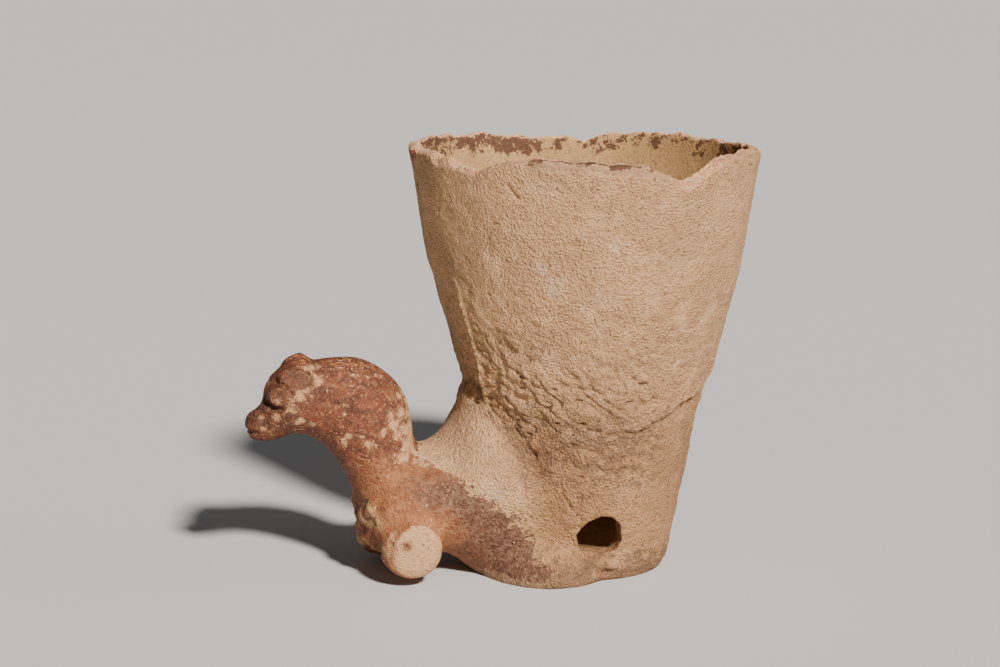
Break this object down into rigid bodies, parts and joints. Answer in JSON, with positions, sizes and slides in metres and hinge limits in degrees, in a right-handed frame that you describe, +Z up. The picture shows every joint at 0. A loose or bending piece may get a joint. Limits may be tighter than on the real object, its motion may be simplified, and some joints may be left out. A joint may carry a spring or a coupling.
{
  "type": "animal-shaped drinking vessel",
  "caption": "Fired clay drinking cup: a flaring open beaker whose foot grows into the forepart of an animal with an arched neck; rim chipped, forelegs and horns broken off.",
  "frame": {"origin": "on the beaker's axis, at the flat underside it stands on", "axes": "+Z up along the beaker's axis; the animal looks along -X; +Y is its right-hand side"},
  "size_m": [0.186, 0.1247, 0.1542],
  "materials": {
    "terracotta": "matt, granular buff clay with a worn red-brown slip on the animal"
  },
  "bodies": {
    "root": {"vessel": "terracotta"}
  },
  "joints": []
}
